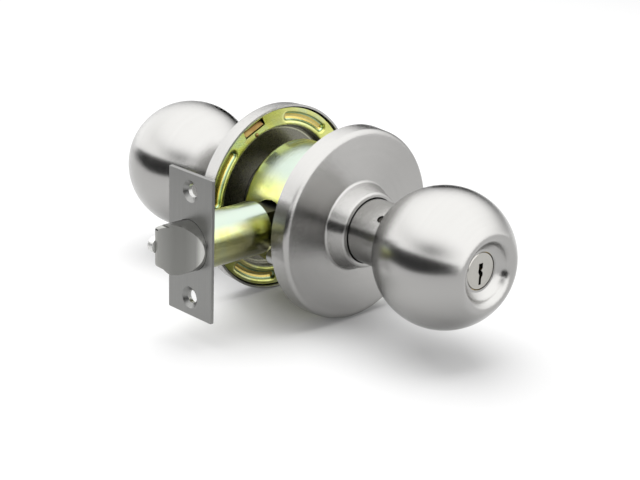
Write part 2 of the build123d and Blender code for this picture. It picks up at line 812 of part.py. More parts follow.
save("face_plate", face_plate())
save("backing_plate", backing_plate())
save("latch_tube", latch_tube())
save("latch_case", latch_case())
save("latch_bolt", latch_bolt())
save("latch_tail", latch_tail())
save("latch_spring", latch_spring())
save("deadlatch_plunger", deadlatch_plunger())
save("plunger_spring", plunger_spring())
save("chassis_drum", chassis_drum())
save("spring_seat", spring_seat())
save("retractor", retractor())
save("retractor_springs", retractor_springs())
save("screw_posts", screw_posts())
save("outside_rose", outside(rose(outside_rim)))
save("inside_rose", rose(inside_rim))
save("outside_liner", outside(liner(outside_rim)))
save("inside_liner", liner(inside_rim))
save("outside_hub", outside(hub(outside_flange, outside_lip - hub_setback)))
save("inside_hub", hub(inside_flange, inside_lip - hub_setback))
save("outside_spindle", outside(spindle(outside_ball, outside_flange)))
save("inside_spindle", spindle(inside_ball, inside_flange))
save("outside_retaining_ring", outside(retaining_ring(outside_flange)))
save("inside_retaining_ring", retaining_ring(inside_flange))
save("outside_neck", outside(neck(outside_ball)))
save("inside_neck", neck(inside_ball))
save("outside_knob_catch", outside(knob_catch(outside_ball)))
save("inside_knob_catch", knob_catch(inside_ball))
save("outside_knob", outside_knob())
save("inside_knob", inside_knob())
save("cylinder_body", outside(cylinder_body()))
save("cylinder_spacer", outside(cylinder_spacer()))
save("key_plug", outside(key_plug()))
for pin_number in range(len(key_pin_lengths)):
    save(f"key_pin_{pin_number + 1}", outside(key_pin(pin_number)))
save("driver_pins", Compound(children=[outside(pin) for pin in driver_pins()]))
save("pin_springs", Compound(children=[outside(spring) for spring in pin_springs()]))
save("spring_cover", outside(spring_cover()))
save("plug_retaining_ring", outside(plug_retaining_ring()))
save("tail_bar", outside(tail_bar()))
save("unlocking_cam", outside(unlocking_cam()))
save("push_button", push_button())
save("button_rod", button_rod())
save("locking_plate", locking_plate())
save("rod_guide", rod_guide())
save("button_spring", button_spring())
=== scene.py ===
# %% [markdown]
# # A cylindrical knob lock, dressed in metal
# The lock lies on its two round roses with the keyed knob towards us. The CAD model gives every part its place.
# This script gives the parts their finish, and rebuilds the pressed and spun sheet parts with softer edges.
# All of it is in metres, and the knob axis is Y.

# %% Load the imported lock
import math

import bpy
from mathutils import Matrix, Vector


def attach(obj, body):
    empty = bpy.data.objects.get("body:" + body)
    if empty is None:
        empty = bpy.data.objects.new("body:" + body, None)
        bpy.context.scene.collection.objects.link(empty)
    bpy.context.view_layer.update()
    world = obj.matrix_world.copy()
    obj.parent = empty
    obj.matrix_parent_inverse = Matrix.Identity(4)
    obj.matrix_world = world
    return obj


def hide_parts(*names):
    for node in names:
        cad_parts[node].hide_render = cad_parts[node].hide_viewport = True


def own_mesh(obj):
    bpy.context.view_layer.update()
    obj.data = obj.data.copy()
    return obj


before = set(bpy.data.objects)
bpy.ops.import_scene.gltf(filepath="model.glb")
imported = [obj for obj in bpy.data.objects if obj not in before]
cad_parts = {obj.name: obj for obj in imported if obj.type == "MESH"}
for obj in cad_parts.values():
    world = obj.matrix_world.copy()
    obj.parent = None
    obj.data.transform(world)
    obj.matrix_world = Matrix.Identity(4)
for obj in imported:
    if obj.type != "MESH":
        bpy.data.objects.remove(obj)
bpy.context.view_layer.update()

for spare in ("Cube", "Light", "Camera"):
    if spare in bpy.data.objects:
        bpy.data.objects.remove(bpy.data.objects[spare])

# %% [markdown]
# ## The camera
# The photograph looks down on the lock from the latch side with a fairly long lens. A camera could be aimed at an
# empty, but its angles, its distance and its focal length are known here, from the circles of the roses and knobs.
# A matrix of three directions and a place is then the shortest way to write it.

# %% Camera
azimuth, elevation, roll = (math.radians(angle) for angle in (-43.98, 19.72, 1.94))
distance = 0.69004
aside, below = 0.00121, -0.01198            # where the middle of the picture lies, beside the lock's origin
sensor_width = 36.0
focal_pixels, image_width = 1711.61, 640

back = Vector((math.sin(azimuth) * math.cos(elevation), -math.cos(azimuth) * math.cos(elevation), math.sin(elevation)))
level = Vector((math.cos(azimuth), math.sin(azimuth), 0))
upright = back.cross(level)
right = level * math.cos(roll) + upright * math.sin(roll)
up = upright * math.cos(roll) - level * math.sin(roll)
eye = back * distance + right * aside + up * below

camera_data = bpy.data.cameras.new("camera")
camera_data.sensor_width = sensor_width
camera_data.lens = focal_pixels / image_width * sensor_width
camera_data.clip_start, camera_data.clip_end = 0.01, 50
camera = bpy.data.objects.new("camera", camera_data)
bpy.context.scene.collection.objects.link(camera)
camera.matrix_world = Matrix.Translation(eye) @ Matrix((right, up, back)).transposed().to_4x4()
bpy.context.scene.camera = camera
bpy.context.scene.view_settings.view_transform = "Standard"
print("lens", round(camera_data.lens, 2), "mm, eye at", [round(v, 3) for v in eye])

# %% [markdown]
# ## Writing shader maths as plain sums
# A finish is a graph of nodes. Adding each Math node by hand hides what is being worked out.
# Here a small class stands for one socket, so that `1 - mask * 0.5` adds the nodes that it needs.

# %% A socket that can be used in sums
class Socket:
    """One output of a node."""

    def __init__(self, finish, socket):
        self.finish = finish
        self.socket = socket

    def other(self, name):
        """Another output of the same node."""
        return Socket(self.finish, self.socket.node.outputs[name])

    def maths(self, operation, other=0.0):
        """A Math node that starts from this socket; some operations use only the first number."""
        return self.finish.node("ShaderNodeMath", {"operation": operation}, {0: self, 1: other})

    def __add__(self, other):
        return self.maths("ADD", other)

    def __sub__(self, other):
        return self.maths("SUBTRACT", other)

    def __rsub__(self, other):
        return self.finish.node("ShaderNodeMath", {"operation": "SUBTRACT"}, {0: other, 1: self})

    def __mul__(self, other):
        return self.maths("MULTIPLY", other)

    def __truediv__(self, other):
        return self.maths("DIVIDE", other)

    def __pow__(self, other):
        return self.maths("POWER", other)

    __radd__ = __add__
    __rmul__ = __mul__


# %% A finish, and the one method that adds a node to it
class Finish:
    """A material or a world with the nodes that make it."""

    def __init__(self, owner):
        self.owner = owner
        owner.use_nodes = True
        self.tree = owner.node_tree

    def node(self, kind, settings=None, inputs=None, output=0):
        """Add a node: its settings first, then the values or links of its inputs, by name or number."""
        made = self.tree.nodes.new(kind)
        for name, value in (settings or {}).items():
            if name == "stops":
                ramp = made.color_ramp
                while len(ramp.elements) < len(value):
                    ramp.elements.new(1.0)
                for element, (place, colour) in zip(ramp.elements, value):
                    element.position = place
                    element.color = (*colour, 1.0)
            else:
                setattr(made, name, value)
        for name, value in (inputs or {}).items():
            self.put(made.inputs[name], value)
        return Socket(self, made.outputs[output])

    def put(self, place, value):
        """Link a socket to an input, or write a plain value there."""
        if isinstance(value, Socket):
            self.tree.links.new(value.socket, place)
        else:
            place.default_value = value

    def metal(self, **values):
        """Set the main shader's sockets, named with _ for a space."""
        shader = self.tree.nodes["Principled BSDF"]
        for name, value in values.items():
            self.put(shader.inputs[name.replace("_", " ")], value)
        return self.owner

    def vector(self, operation, first, second=None):
        inputs = {0: first} if second is None else {0: first, 1: second}
        return self.node("ShaderNodeVectorMath", {"operation": operation}, inputs)

    def place(self):
        """The place on the piece, in metres."""
        return self.node("ShaderNodeTexCoord", output="Object")

    def parts(self, place):
        """The x, y and z of a place."""
        x = self.node("ShaderNodeSeparateXYZ", inputs={0: place})
        return x, x.other("Y"), x.other("Z")

    def rise(self, value, start, end, low=0.0, high=1.0, smooth=True):
        """From low to high as a value goes from start to end."""
        kind = "SMOOTHSTEP" if smooth else "LINEAR"
        return self.node("ShaderNodeMapRange", {"interpolation_type": kind}, {
            "Value": value, "From Min": start, "From Max": end, "To Min": low, "To Max": high})

    def noise(self, place, scale, detail=2.0, **others):
        """A plain noise, from 0 to 1."""
        return self.node("ShaderNodeTexNoise", inputs={"Vector": place, "Scale": scale, "Detail": detail, **others})

    def ramp(self, stops, share):
        """A colour from a row of stops."""
        return self.node("ShaderNodeValToRGB", {"stops": stops}, {0: share})

    def blend(self, share, first, second, way="MIX"):
        """One colour over another; a colour is a socket or three numbers."""
        first, second = (c if isinstance(c, Socket) else (*c, 1) for c in (first, second))
        return self.node("ShaderNodeMix", {"data_type": "RGBA", "blend_type": way}, {
            "Factor": share, 6: first, 7: second}, output=2)


# %% Two small helpers
def new_finish(name):
    return Finish(bpy.data.materials.new(name))


def hill(value, centre, width):
    """1 at the centre, falling away smoothly on both sides."""
    away = (value - centre) / width
    return (away * away * -1).maths("EXPONENT")


# %% [markdown]
# ## The studio
# The photograph has a white table, a large soft light overhead, pale walls round it and one dark strip low on
# the left, which the polished parts show as a dark band. Metal looks like metal because of what it reflects,
# so the walls matter more than the lamps. They are plain cards that only reflections see.

# %% The white surround
floor_level = -0.0392
surround_for_matt = 0.3

world = bpy.data.worlds.new("surround")
bpy.context.scene.world = world
air = Finish(world)


def seen(finish):
    """1 for rays that show a surface as it is: straight, in a reflection or through glass."""
    straight = finish.node("ShaderNodeLightPath", output="Is Camera Ray")
    shown = straight + straight.other("Is Glossy Ray") + straight.other("Is Transmission Ray")
    return shown.maths("MINIMUM", 1.0)


surround = air.tree.nodes["Background"]
air.put(surround.inputs["Strength"], seen(air) * (1 - surround_for_matt) + surround_for_matt)
air.put(surround.inputs["Color"], (1, 1, 1, 1))
print("white surround ready")

# %% [markdown]
# ## The floor and the light above it
# A white sheet of paper lies under the lock. It has to look white and still show the lock's soft shadow, so part
# of it glows by itself: most on the open paper, and little under the lock, where the shadow lies.
# One large square lamp above gives that shadow its soft edge. Reflections don't see the lamp; they see the tent.

# %% The floor
bpy.ops.object.select_all(action="DESELECT")
bpy.ops.mesh.primitive_plane_add(size=12, location=(0, 0, floor_level))
floor = bpy.context.object
floor.name = "floor"

paper_white, paper_glow = (0.80, 0.80, 0.80, 1), 0.5
shade_x, shade_y, shade_depth = 0.045, 0.075, 0.9


def open_paper(finish):
    """1 on the open paper, falling where the lock stands and little light gets in."""
    x, y, _ = finish.parts(finish.place())
    return 1 - hill(x, 0.0, shade_x) * hill(y, 0.0, shade_y) * shade_depth


paper = new_finish("white_paper")
paper.metal(Base_Color=paper_white, Roughness=1.0, Specular_IOR_Level=0)
matt = Socket(paper, paper.tree.nodes["Principled BSDF"].outputs[0])
glow = paper.node("ShaderNodeEmission", inputs={"Color": (1, 1, 1, 1), "Strength": 1.0})
glow_share = seen(paper) * open_paper(paper) * paper_glow
lit_paper = paper.node("ShaderNodeMixShader", inputs={0: glow_share, 1: matt, 2: glow})
paper.put(paper.tree.nodes["Material Output"].inputs["Surface"], lit_paper)
floor.data.materials.append(paper.owner)
print("floor at", round(floor_level * 1000, 1), "mm")

# %% The overhead light
overhead_size, overhead_brightness = 1.0, 4.2
overhead_place, overhead_aim = (0.05, 0.2, 0.75), (0.0, 0.1, 0.0)


def soft_light(name, place, aim, size, brightness):
    """A square area light; its power is worked out from how bright its face looks."""
    data = bpy.data.lights.new(name, "AREA")
    data.shape = "SQUARE"
    data.size = size
    data.energy = brightness * math.pi * size ** 2
    lamp = bpy.data.objects.new(name, data)
    bpy.context.scene.collection.objects.link(lamp)
    lamp.location = place
    lamp.rotation_euler = (Vector(aim) - Vector(place)).to_track_quat("-Z", "Y").to_euler()
    lamp.visible_camera = False
    return lamp


lamp = soft_light("overhead", overhead_place, overhead_aim, overhead_size, overhead_brightness)
lamp.visible_glossy = False
print("overhead light:", round(lamp.data.energy, 1), "W")

# %% [markdown]
# ## What the metal reflects
# Pale walls stand all round the table, a little brighter higher up. A few places are duller, such as where
# something grey stands beside the camera, and these make the soft greys on the balls. The walls could be
# built from many cards. A sphere round it all is shorter: its brightness is a sum of soft hills, each one at a
# turn from the camera's side and a height above the table.

# %% Cards that only reflections see
def only_in_reflections(stage_piece):
    """Keep a card out of the picture, and keep its light and shade off the floor."""
    stage_piece.visible_camera = stage_piece.visible_diffuse = False
    stage_piece.visible_shadow = stage_piece.visible_transmission = False


def glowing(name, owner, brightness_of):
    """A plain grey glow whose brightness is worked out from the place on the card."""
    finish = new_finish(name)
    grey = brightness_of(finish, finish.place())
    colour = finish.node("ShaderNodeCombineXYZ", inputs={0: grey, 1: grey, 2: grey})
    light = finish.node("ShaderNodeEmission", inputs={"Color": colour, "Strength": 1.0})
    finish.put(finish.tree.nodes["Material Output"].inputs["Surface"], light)
    finish.owner.cycles.emission_sampling = "NONE"
    owner.data.materials.append(finish.owner)


# %% The tent round the table
tent_radius = 1.2
wall_light, wall_rise, tent_limit = 2.0, 0.0065, 2.4
front_x, front_y = -0.694, -0.7197          # the direction of the camera's side, seen from above
tent_patches = [
    # how much lighter, the turn and its width, the height and its width; all angles in degrees
    (-1.55, -22, 30, 27, 11),     # something grey stands a little left of the camera
    (-0.35, -80, 45, 32, 9),      # the left wall is duller above its lowest strip
    (0.35, 50, 40, 20, 35),       # the wall on the right is bright
    (-1.30, 145, 40, 8, 20),      # and dull low down at the back
]
dull_behind = (-1.6, 180, 24, 5, 25)        # so is the place straight behind, on both sides of the turn


def tent_light(finish, place):
    """Brightness by direction: degrees round from the camera's side, and degrees above the table."""
    x, y, height = finish.parts(place)
    ahead = x * front_x + y * front_y
    sideways = x * -front_y + y * front_x
    in_degrees = 180 / math.pi
    turned_by = sideways.maths("ARCTAN2", ahead) * in_degrees
    above = height.maths("ARCTAN2", (x * x + y * y) ** 0.5) * in_degrees
    light = above * wall_rise + wall_light
    for amount, turn, turn_width, lift, lift_width in tent_patches:
        light = light + hill(turned_by, turn, turn_width) * hill(above, lift, lift_width) * amount
    amount, turn, turn_width, lift, lift_width = dull_behind
    behind = hill(turned_by.maths("ABSOLUTE"), turn, turn_width) * hill(above, lift, lift_width)
    light = light + behind * amount
    return light.maths("MINIMUM", tent_limit)


bpy.ops.object.select_all(action="DESELECT")
bpy.ops.mesh.primitive_uv_sphere_add(segments=64, ring_count=32, radius=tent_radius)
tent = bpy.context.object
tent.name = "tent"
only_in_reflections(tent)
glowing("tent_light", tent, tent_light)

# %% The dark strip low on the left
strip_place, strip_top = -0.28, 0.086
strip_front, strip_fade, strip_end = -0.78, -0.42, 2.0
strip_dark, strip_pale = 0.05, 1.6


def strip_light(finish, place):
    """Dark, and fading into the wall at its front end."""
    _, along, _ = finish.parts(place)
    return finish.rise(along, strip_fade, strip_front, strip_dark, strip_pale)


bpy.ops.object.select_all(action="DESELECT")
bpy.ops.mesh.primitive_plane_add(size=1)
strip = bpy.context.object
strip.name = "dark_strip"
strip.rotation_euler = (0, math.radians(90), 0)
strip.scale = (strip_top - floor_level, strip_end - strip_front, 1)
strip.location = (strip_place, (strip_end + strip_front) / 2, (strip_top + floor_level) / 2)
bpy.ops.object.transform_apply(location=True, rotation=True, scale=True)
only_in_reflections(strip)
glowing("strip_light", strip, strip_light)
print("tent and strip placed, patches:", len(tent_patches) + 1)

# %% [markdown]
# ## Satin stainless steel
# The knobs and roses are spun from sheet and then brushed as they turn, so fine grooves run round the knob axis.
# Grooves spread a reflection across themselves and hardly at all along themselves. That gives the fans on
# a rose and the stretched bands on a ball. Tilting the normal across the grooves by a very fine
# noise does the same, and works on any turned shape, because the groove's direction comes from the place.


# %% Grooves round the knob axis
def turned_lines(finish, fine, wander):
    """Noise that is drawn out round the knob axis; fine is its lines per metre."""
    x, y, z = finish.parts(finish.place())
    radius = (x * x + z * z) ** 0.5
    lines = finish.node("ShaderNodeCombineXYZ", inputs={0: radius * fine, 1: y * fine, 2: x / radius * wander})
    return finish.node("ShaderNodeTexNoise", {"noise_dimensions": "4D"}, {
        "Vector": lines, "W": z / radius * wander, "Scale": 1.0, "Detail": 2.0, "Roughness": 0.6})


def tilted(finish, noise, along, depth):
    """The normal, tilted by a noise across grooves that run along a direction."""
    normal = finish.node("ShaderNodeTexCoord", output="Normal")
    across = finish.vector("NORMALIZE", finish.vector("CROSS_PRODUCT", normal, along))
    tilt = finish.node("ShaderNodeVectorMath", {"operation": "SCALE"}, {0: across, "Scale": (noise - 0.5) * depth})
    bent = finish.vector("NORMALIZE", finish.vector("ADD", normal, tilt))
    return finish.node("ShaderNodeVectorTransform", {
        "vector_type": "NORMAL", "convert_from": "OBJECT", "convert_to": "WORLD"}, {0: bent})


# %% Steel brushed as it turns
knob_axis = (0, 1, 0)
fine_wander, band_wander = 150.0, 0.5       # how fast the grooves and the broad bands change along themselves


def turned_steel(name, low, high, roughness, depth, fine=26000.0):
    """Steel brushed round the knob axis, between two colours."""
    finish = new_finish(name)
    grooves = finish.vector("CROSS_PRODUCT", knob_axis, finish.place())
    fine_lines = turned_lines(finish, fine, fine_wander)
    bands = turned_lines(finish, fine / 40, band_wander)
    finish.metal(
        Base_Color=finish.blend(bands, low, high), Metallic=1.0,
        Roughness=bands * 0.06 + (roughness - 0.03), Normal=tilted(finish, fine_lines, grooves, depth))
    return finish.owner


satin = turned_steel("satin_steel", (0.365, 0.361, 0.352), (0.383, 0.379, 0.37), 0.18, 1.1)
rose_steel = turned_steel("rose_steel", (0.358, 0.354, 0.345), (0.392, 0.387, 0.377), 0.20, 2.0)
print("turned steels:", satin.name, rose_steel.name)

# %% [markdown]
# ## Steel with straight grooves
# The face plate, the bolt and the plunger are brushed in straight lines. Noise that is stretched along the grooves
# gives the broad streaks. The bolt's curved bevel goes from light to dark and back across its width, and a ramp
# of painted reflection from side to side helps that along, because so small a curve reflects only a small piece of the
# tent.

# %% Straight grooves on flat parts
bolt_flat_side, bolt_far_side = -0.010, 0.0065


def straight_steel(name, low, high, roughness, depth, grooves=(0, 0, 1), fine=16000.0, painted_reflection=None):
    """Steel brushed in straight lines along one direction; a ramp of painted reflection can lighten and darken it from
    side to side.
    """
    finish = new_finish(name)
    place = finish.place()
    stretch = tuple(fine * (0.03 if along else 1.0) for along in grooves)
    lines = finish.noise(place, fine)
    broad = finish.noise(finish.vector("MULTIPLY", place, stretch), 0.10, 3.0)
    colour = finish.blend(broad, low, high)
    if painted_reflection:
        _, across, _ = finish.parts(place)
        shade = finish.ramp(painted_reflection, finish.rise(across, bolt_flat_side, bolt_far_side, smooth=False))
        colour = finish.blend(1.0, colour, shade, "MULTIPLY")
    finish.metal(
        Base_Color=colour, Metallic=1.0,
        Roughness=broad * 0.08 + (roughness - 0.04), Normal=tilted(finish, lines, grooves, depth))
    return finish.owner


plate_steel = straight_steel("plate_steel", (0.22, 0.22, 0.214), (0.26, 0.26, 0.253), 0.32, 0.7)
plunger_steel = straight_steel("plunger_steel", (0.60, 0.60, 0.585), (0.68, 0.68, 0.665), 0.42, 0.9, (1, 0, 0))
# the bolt's bevel gets a painted reflection: bright at one edge, dark across the middle, lighter at the other
bolt_steel = straight_steel("bolt_steel", (0.50, 0.50, 0.488), (0.58, 0.58, 0.566), 0.24, 0.5, painted_reflection=[
    (0.0, (1.0, 1.0, 0.98)), (0.06, (0.92, 0.92, 0.90)), (0.14, (0.46, 0.46, 0.45)), (0.32, (0.36, 0.36, 0.35)),
    (0.55, (0.36, 0.36, 0.35)), (0.78, (0.47, 0.47, 0.46)), (1.0, (0.60, 0.60, 0.585))])
print("straight steels:", plate_steel.name, plunger_steel.name, bolt_steel.name)

# %% [markdown]
# ## Yellow zinc
# Pressed parts inside the lock are zinc plated and dipped in a bath that leaves a thin yellow film.
# The film drifts between straw, green and pink with its thickness. A slow noise through a colour ramp
# gives that drift; a real thin-film shader would cost more and hardly look different.


# %% Zinc with a drifting film
speck_scale, grain_fine, grain_wander = 2600.0, 16000.0, 9.0


def film_zinc(name, stops, roughness, drift, depth, gloss=0.0, shift=None):
    """Plated sheet: a film colour that drifts, a little grain, and a glossy skin that pales the highlights."""
    finish = new_finish(name)
    place = finish.place()
    colour = finish.ramp(stops, finish.noise(place, drift, 2.5, Distortion=0.6))
    if shift:
        colour = shift(finish, place, colour)
    specks = finish.noise(place, speck_scale)
    grain = finish.vector("CROSS_PRODUCT", knob_axis, place)
    finish.metal(
        Base_Color=colour, Metallic=1.0, Roughness=specks * 0.12 + (roughness - 0.06),
        Normal=tilted(finish, turned_lines(finish, grain_fine, grain_wander), grain, depth),
        Coat_Weight=gloss, Coat_Roughness=0.16, Coat_IOR=2.0)
    return finish.owner


# %% Film colours, from thin to thick
straw_film = [
    (0.30, (0.42, 0.48, 0.13)), (0.42, (0.58, 0.61, 0.16)), (0.50, (0.62, 0.64, 0.22)),
    (0.58, (0.56, 0.63, 0.30)), (0.68, (0.60, 0.55, 0.22))]
rib_film = [
    (0.10, (0.30, 0.34, 0.08)), (0.35, (0.12, 0.15, 0.05)), (0.55, (0.40, 0.60, 0.38)),
    (0.75, (0.62, 0.44, 0.08)), (0.95, (0.42, 0.40, 0.15))]
# colours of the painted highlight and the painted shade on the tube and drum, and of the film's pooled spots
painted_highlight_film, painted_shade_film, pooled_film = (0.31, 0.37, 0.33), (0.13, 0.115, 0.055), (0.15, 0.17, 0.06)
# painted shade for the liner's recess, and a painted highlight line inside it
painted_recess_shade, painted_recess_highlight = (0.17, 0.165, 0.13), (0.50, 0.50, 0.36)
recess_from, recess_to, line_radius, line_width = 30.5, 29.9, 28.4, 0.22      # radii on a liner, in mm
rib_depth = 1.7


# %% What a liner adds to its film
def pressed_liner(flange):
    """Painted shade in the liner's recess with a painted highlight line in it, and film colours that follow the depth
    of its ribs.
    """
    def shift(finish, place, colour):
        x, y, z = finish.parts(place)
        radius = (x * x + z * z) ** 0.5 * 1000
        depth = y.maths("ABSOLUTE") * 1000 - flange
        in_rib = finish.rise(depth, 0.15, 0.45, smooth=False)
        colour = finish.blend(in_rib, colour, finish.ramp(rib_film, depth / rib_depth))
        # a painted highlight line and painted shade over the recess
        line = hill(radius, line_radius, line_width) * 0.8
        recess = finish.rise(radius, recess_from, recess_to, smooth=False)
        return finish.blend(recess, colour, finish.blend(line, painted_recess_shade, painted_recess_highlight))
    return shift


# %% What the tube and the drum add to theirs
# the side that gets a painted highlight, and the side that gets painted shade
lit_side, painted_shade_side = (-0.35, -0.35, 0.87), (0.2, -0.45, -0.87)
tube_front, tube_rear = -0.060, -0.040
drum_edge_from, drum_edge_to = 0.0115, 0.0155


def facing(finish, side):
    """How much the surface faces a side, from -1 to 1."""
    normal = finish.node("ShaderNodeTexCoord", output="Normal")
    return finish.vector("DOT_PRODUCT", normal, side).other("Value")


def painted_light_and_pools(finish, place, colour):
    """Painted highlight where the surface faces the light, painted shade on the lower side towards the drum, and dull
    spots where the film pooled at the drum's edge.
    """
    x, y, _ = finish.parts(place)
    # painted highlight: the film turns paler where the surface faces the light
    pale = finish.rise(facing(finish, lit_side), 0.70, 0.90, 0.0, 0.95)
    colour = finish.blend(pale, colour, painted_highlight_film)
    # painted shade: darker film on the lower side, more so towards the drum
    dull = finish.rise(facing(finish, painted_shade_side), -0.25, 0.55) * finish.rise(x, tube_front, tube_rear, 0.60, 0.88)
    colour = finish.blend(dull, colour, painted_shade_film)
    spots = finish.rise(finish.noise(place, 190.0), 0.48, 0.62, 0.0, 0.8, smooth=False)
    return finish.blend(finish.rise(y, drum_edge_from, drum_edge_to) * spots, colour, pooled_film)


# %% The zinc finishes
yellow_zinc = film_zinc("yellow_zinc_film", straw_film, 0.24, 60.0, 0.35, 0.35, painted_light_and_pools)
tab_film = film_zinc("orange_zinc_film", [(0.35, (0.17, 0.10, 0.035)), (0.65, (0.24, 0.17, 0.06))], 0.3, 160.0, 0.2)
outside_liner_zinc = film_zinc("outside_liner_film", straw_film, 0.28, 90.0, 0.25, 0.3, pressed_liner(17.1))
inside_liner_zinc = film_zinc("inside_liner_film", straw_film, 0.28, 90.0, 0.25, 0.3, pressed_liner(22.3))
grey_zinc = film_zinc("grey_zinc_plate", [
    (0.35, (0.30, 0.30, 0.295)), (0.65, (0.42, 0.42, 0.41))], 0.38, 90.0, 0.3)
print("zinc finishes:", yellow_zinc.name, outside_liner_zinc.name, inside_liner_zinc.name, grey_zinc.name)

# %% [markdown]
# ## The smaller finishes
# Few of these show: the dark inner case of the latch, the nickel plug with its keyway, the brass inside and the
# springs. They are made by the two makers above, with other colours and other roughness.

# %% The smaller finishes
dark_case = film_zinc("dark_oxide", [(0.35, (0.035, 0.033, 0.03)), (0.65, (0.07, 0.066, 0.06))], 0.45, 120.0, 0.3)
nickel = turned_steel("satin_nickel", (0.40, 0.39, 0.365), (0.47, 0.46, 0.43), 0.22, 0.5)
brass = turned_steel("turned_brass", (0.52, 0.38, 0.15), (0.62, 0.47, 0.21), 0.26, 0.6)
spring_wire = film_zinc("spring_wire", [(0.35, (0.24, 0.24, 0.24)), (0.65, (0.34, 0.34, 0.34))], 0.3, 200.0, 0.2)
print("finishes:", len(bpy.data.materials))

# %% [markdown]
# ## Dressing the CAD parts
# Every CAD node comes with the name of the finish it should have. A node whose shape is right keeps its mesh and
# only gets a better material in its slot. The catches in the release holes look black, so they are the exception.

# %% Give every CAD node its finish
finish_of_slot = {
    "satin_stainless": satin, "plate_stainless": plate_steel, "bolt_stainless": bolt_steel,
    "yellow_zinc": yellow_zinc, "grey_zinc": grey_zinc, "dark_case": dark_case,
    "nickel_plug": nickel, "plain_brass": brass, "spring_steel": spring_wire,
}
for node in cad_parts.values():
    for place in node.material_slots:
        place.material = finish_of_slot[place.material.name.split(".")[0]]
for name in ("outside_knob_catch", "inside_knob_catch"):
    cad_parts[name].material_slots[0].material = dark_case
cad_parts["deadlatch_plunger"].material_slots[0].material = plunger_steel
print("nodes dressed:", len(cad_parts))

# %% [markdown]
# ## The sheet parts
# Knobs, roses, liners and the drum are sheet metal. Each starts as one vertex that is extruded along half of
# the part's section, in the plane of the radius and the knob axis. The outline is then spun round the axis
# and given its thickness. Sizes here are in millimetres, as on a drawing, and are scaled down as they are used.

# %% Round the corners of a drawing
MM = 0.001
merge_distance = 0.001 * MM


def soften(corners, step=10):
    """The points of an outline; a corner (radius, y, rounding) with a rounding becomes an arc."""
    points = []
    for index, (radius, y, rounding) in enumerate(corners):
        corner = Vector((radius, y, 0))
        if not rounding:
            points.append(corner)
            continue
        before = (Vector((*corners[index - 1][:2], 0)) - corner).normalized()
        after = (Vector((*corners[index + 1][:2], 0)) - corner).normalized()
        opening = before.angle(after)
        centre = corner + (before + after).normalized() * (rounding / math.sin(opening / 2))
        spoke = corner + before * (rounding / math.tan(opening / 2)) - centre
        sweep = math.copysign(math.pi - opening, -before.cross(after).z)
        count = max(2, round(math.degrees(abs(sweep)) / step))
        for number in range(count + 1):
            points.append(centre + Matrix.Rotation(sweep * number / count, 3, "Z") @ spoke)
    return points


def rows(start, end, count):
    """Evenly spaced points of a straight run, without its last one, so that a press has vertices to move."""
    return [(start[0] + (end[0] - start[0]) * n / count, start[1] + (end[1] - start[1]) * n / count, 0)
            for n in range(count)]


# %% Spin a drawing into a sheet
def alone(piece):
    """Select one piece and nothing else."""
    bpy.ops.object.select_all(action="DESELECT")
    piece.select_set(True)
    bpy.context.view_layer.objects.active = piece


def turned(name, corners, steps=192):
    """Draw an outline from one vertex and spin it round the knob axis."""
    points = [point * MM for point in soften(corners)]
    bpy.ops.object.select_all(action="DESELECT")
    bpy.ops.mesh.primitive_plane_add(size=MM, location=(0, 0, 0))
    sheet = bpy.context.object
    sheet.name = name
    bpy.ops.object.mode_set(mode="EDIT")
    bpy.ops.mesh.select_all(action="SELECT")
    bpy.ops.mesh.merge(type="CENTER")
    bpy.ops.transform.translate(value=points[0])
    for here, there in zip(points, points[1:]):
        bpy.ops.mesh.extrude_region_move(TRANSFORM_OT_translate={"value": there - here})
    bpy.ops.mesh.select_all(action="SELECT")
    bpy.ops.mesh.spin(steps=steps, angle=math.tau, center=(0, 0, 0), axis=knob_axis)
    bpy.ops.mesh.select_all(action="SELECT")
    bpy.ops.mesh.remove_doubles(threshold=merge_distance)
    bpy.ops.mesh.normals_make_consistent(inside=False)
    bpy.ops.object.mode_set(mode="OBJECT")
    return sheet


def thicken(sheet, thickness, side=-1):
    """Give a sheet its thickness: side -1 is behind its faces, 1 is in front of them."""
    solid = sheet.modifiers.new("sheet", "SOLIDIFY")
    solid.thickness, solid.offset = thickness * MM, side
    bpy.context.view_layer.objects.active = sheet
    bpy.ops.object.modifier_apply(modifier=solid.name)


# %% Press and cut a sheet
def press(sheet, chosen, push, reach):
    """Push the chosen vertices and drag their neighbours along, as a press tool does."""
    alone(sheet)
    bpy.ops.object.mode_set(mode="EDIT")
    bpy.ops.mesh.select_mode(type="VERT")
    bpy.ops.mesh.select_all(action="DESELECT")
    bpy.ops.object.mode_set(mode="OBJECT")
    count = 0
    for vertex in sheet.data.vertices:
        vertex.select = chosen(vertex.co / MM)
        count += vertex.select
    bpy.ops.object.mode_set(mode="EDIT")
    bpy.ops.transform.translate(
        value=Vector(push) * MM, use_proportional_edit=True, proportional_edit_falloff="SMOOTH",
        proportional_size=reach * MM, use_proportional_connected=True)
    bpy.ops.object.mode_set(mode="OBJECT")
    return count


def cut(sheet, cutter):
    """Take one object's shape out of another."""
    bpy.context.view_layer.objects.active = sheet
    taken = sheet.modifiers.new("cut", "BOOLEAN")
    taken.object, taken.operation, taken.solver = cutter, "DIFFERENCE", "EXACT"
    bpy.ops.object.modifier_apply(modifier=taken.name)
    bpy.data.objects.remove(cutter)


def degrees_round(point):
    """Degrees round the knob axis, from +X towards +Z."""
    return math.degrees(math.atan2(point.z, point.x)) % 360


# %% Dress a finished piece
smooth_angle = math.radians(32)


def dress(piece, finish, node, body):
    """Give a finished piece its finish and its place in the lock."""
    alone(piece)
    bpy.ops.object.shade_smooth_by_angle(angle=smooth_angle)
    piece.data.materials.clear()
    piece.data.materials.append(finish)
    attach(piece, body)
    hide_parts(node)
    print(piece.name, len(piece.data.polygons), "faces")


